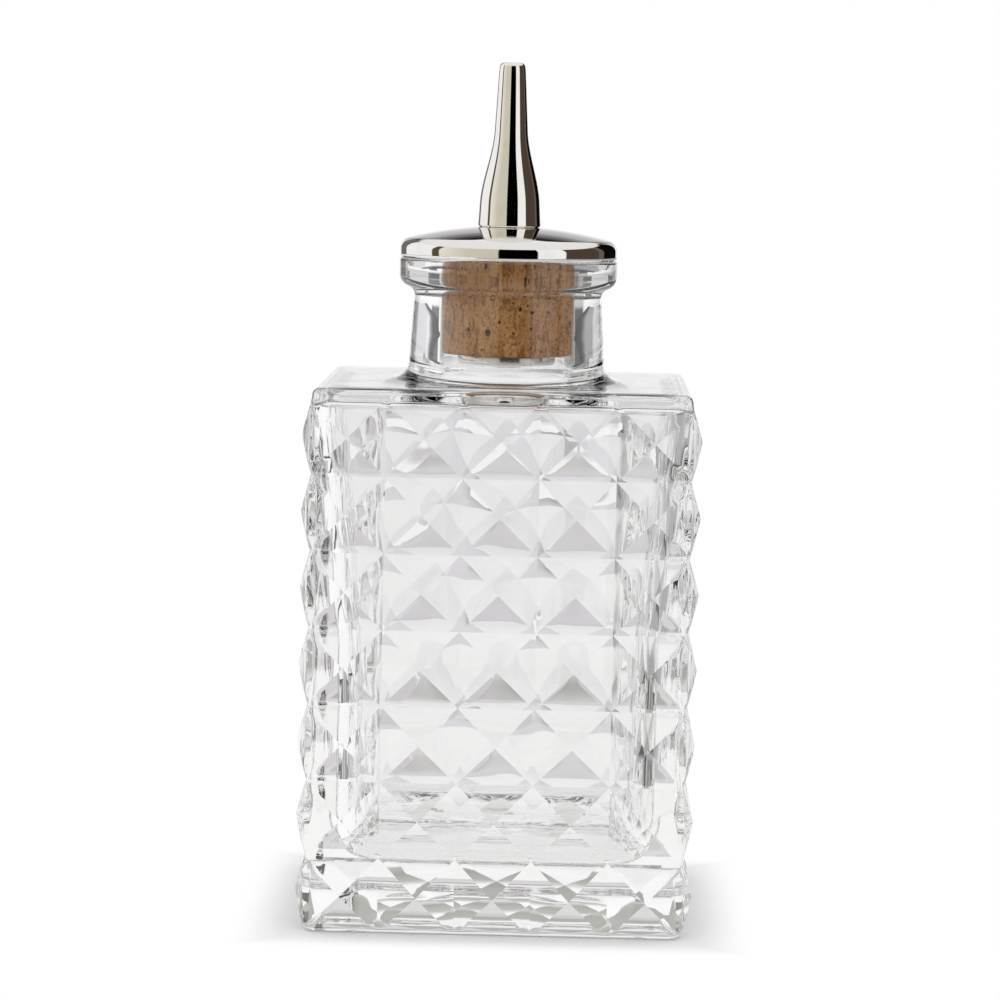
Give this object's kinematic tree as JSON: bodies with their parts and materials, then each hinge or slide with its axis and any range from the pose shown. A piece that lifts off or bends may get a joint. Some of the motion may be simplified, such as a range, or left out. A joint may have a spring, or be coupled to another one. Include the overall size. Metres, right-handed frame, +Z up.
{
  "type": "bitters bottle",
  "caption": "Square clear glass dasher bottle with diamond-point relief, a cork stopper under a domed metal disc and a slim pouring spout.",
  "frame": {"origin": "centre of the base, on the surface the bottle stands on", "axes": "+Z up along the bottle's axis, out of the spout; X and Y square to the four relief sides"},
  "size_m": [0.0576, 0.0576, 0.1255],
  "materials": {
    "glass": "clear pressed flint glass, polished",
    "cork": "natural cork with dark pores",
    "disc_metal": "polished",
    "spout_metal": "polished",
    "stem_metal": "turned",
    "nut_metal": "polished"
  },
  "bodies": {
    "glass_bottle": {"bottle": "glass"},
    "stopper": {"cork": "cork", "cap_disc": "disc_metal", "stem": "stem_metal", "cork_nut": "nut_metal"},
    "pour_spout": {"spout": "spout_metal"}
  },
  "joints": [
    {"name": "stopper_lift", "type": "slide", "parent": "glass_bottle", "child": "stopper", "axis": [0, 0, 1], "range_m": [0, 0.03]},
    {"name": "spout_unscrew", "type": "hinge", "parent": "stopper", "child": "pour_spout", "pos_m": [0, 0, 0.1012], "axis": [0, 0, 1], "range_deg": [0, 1440]}
  ]
}
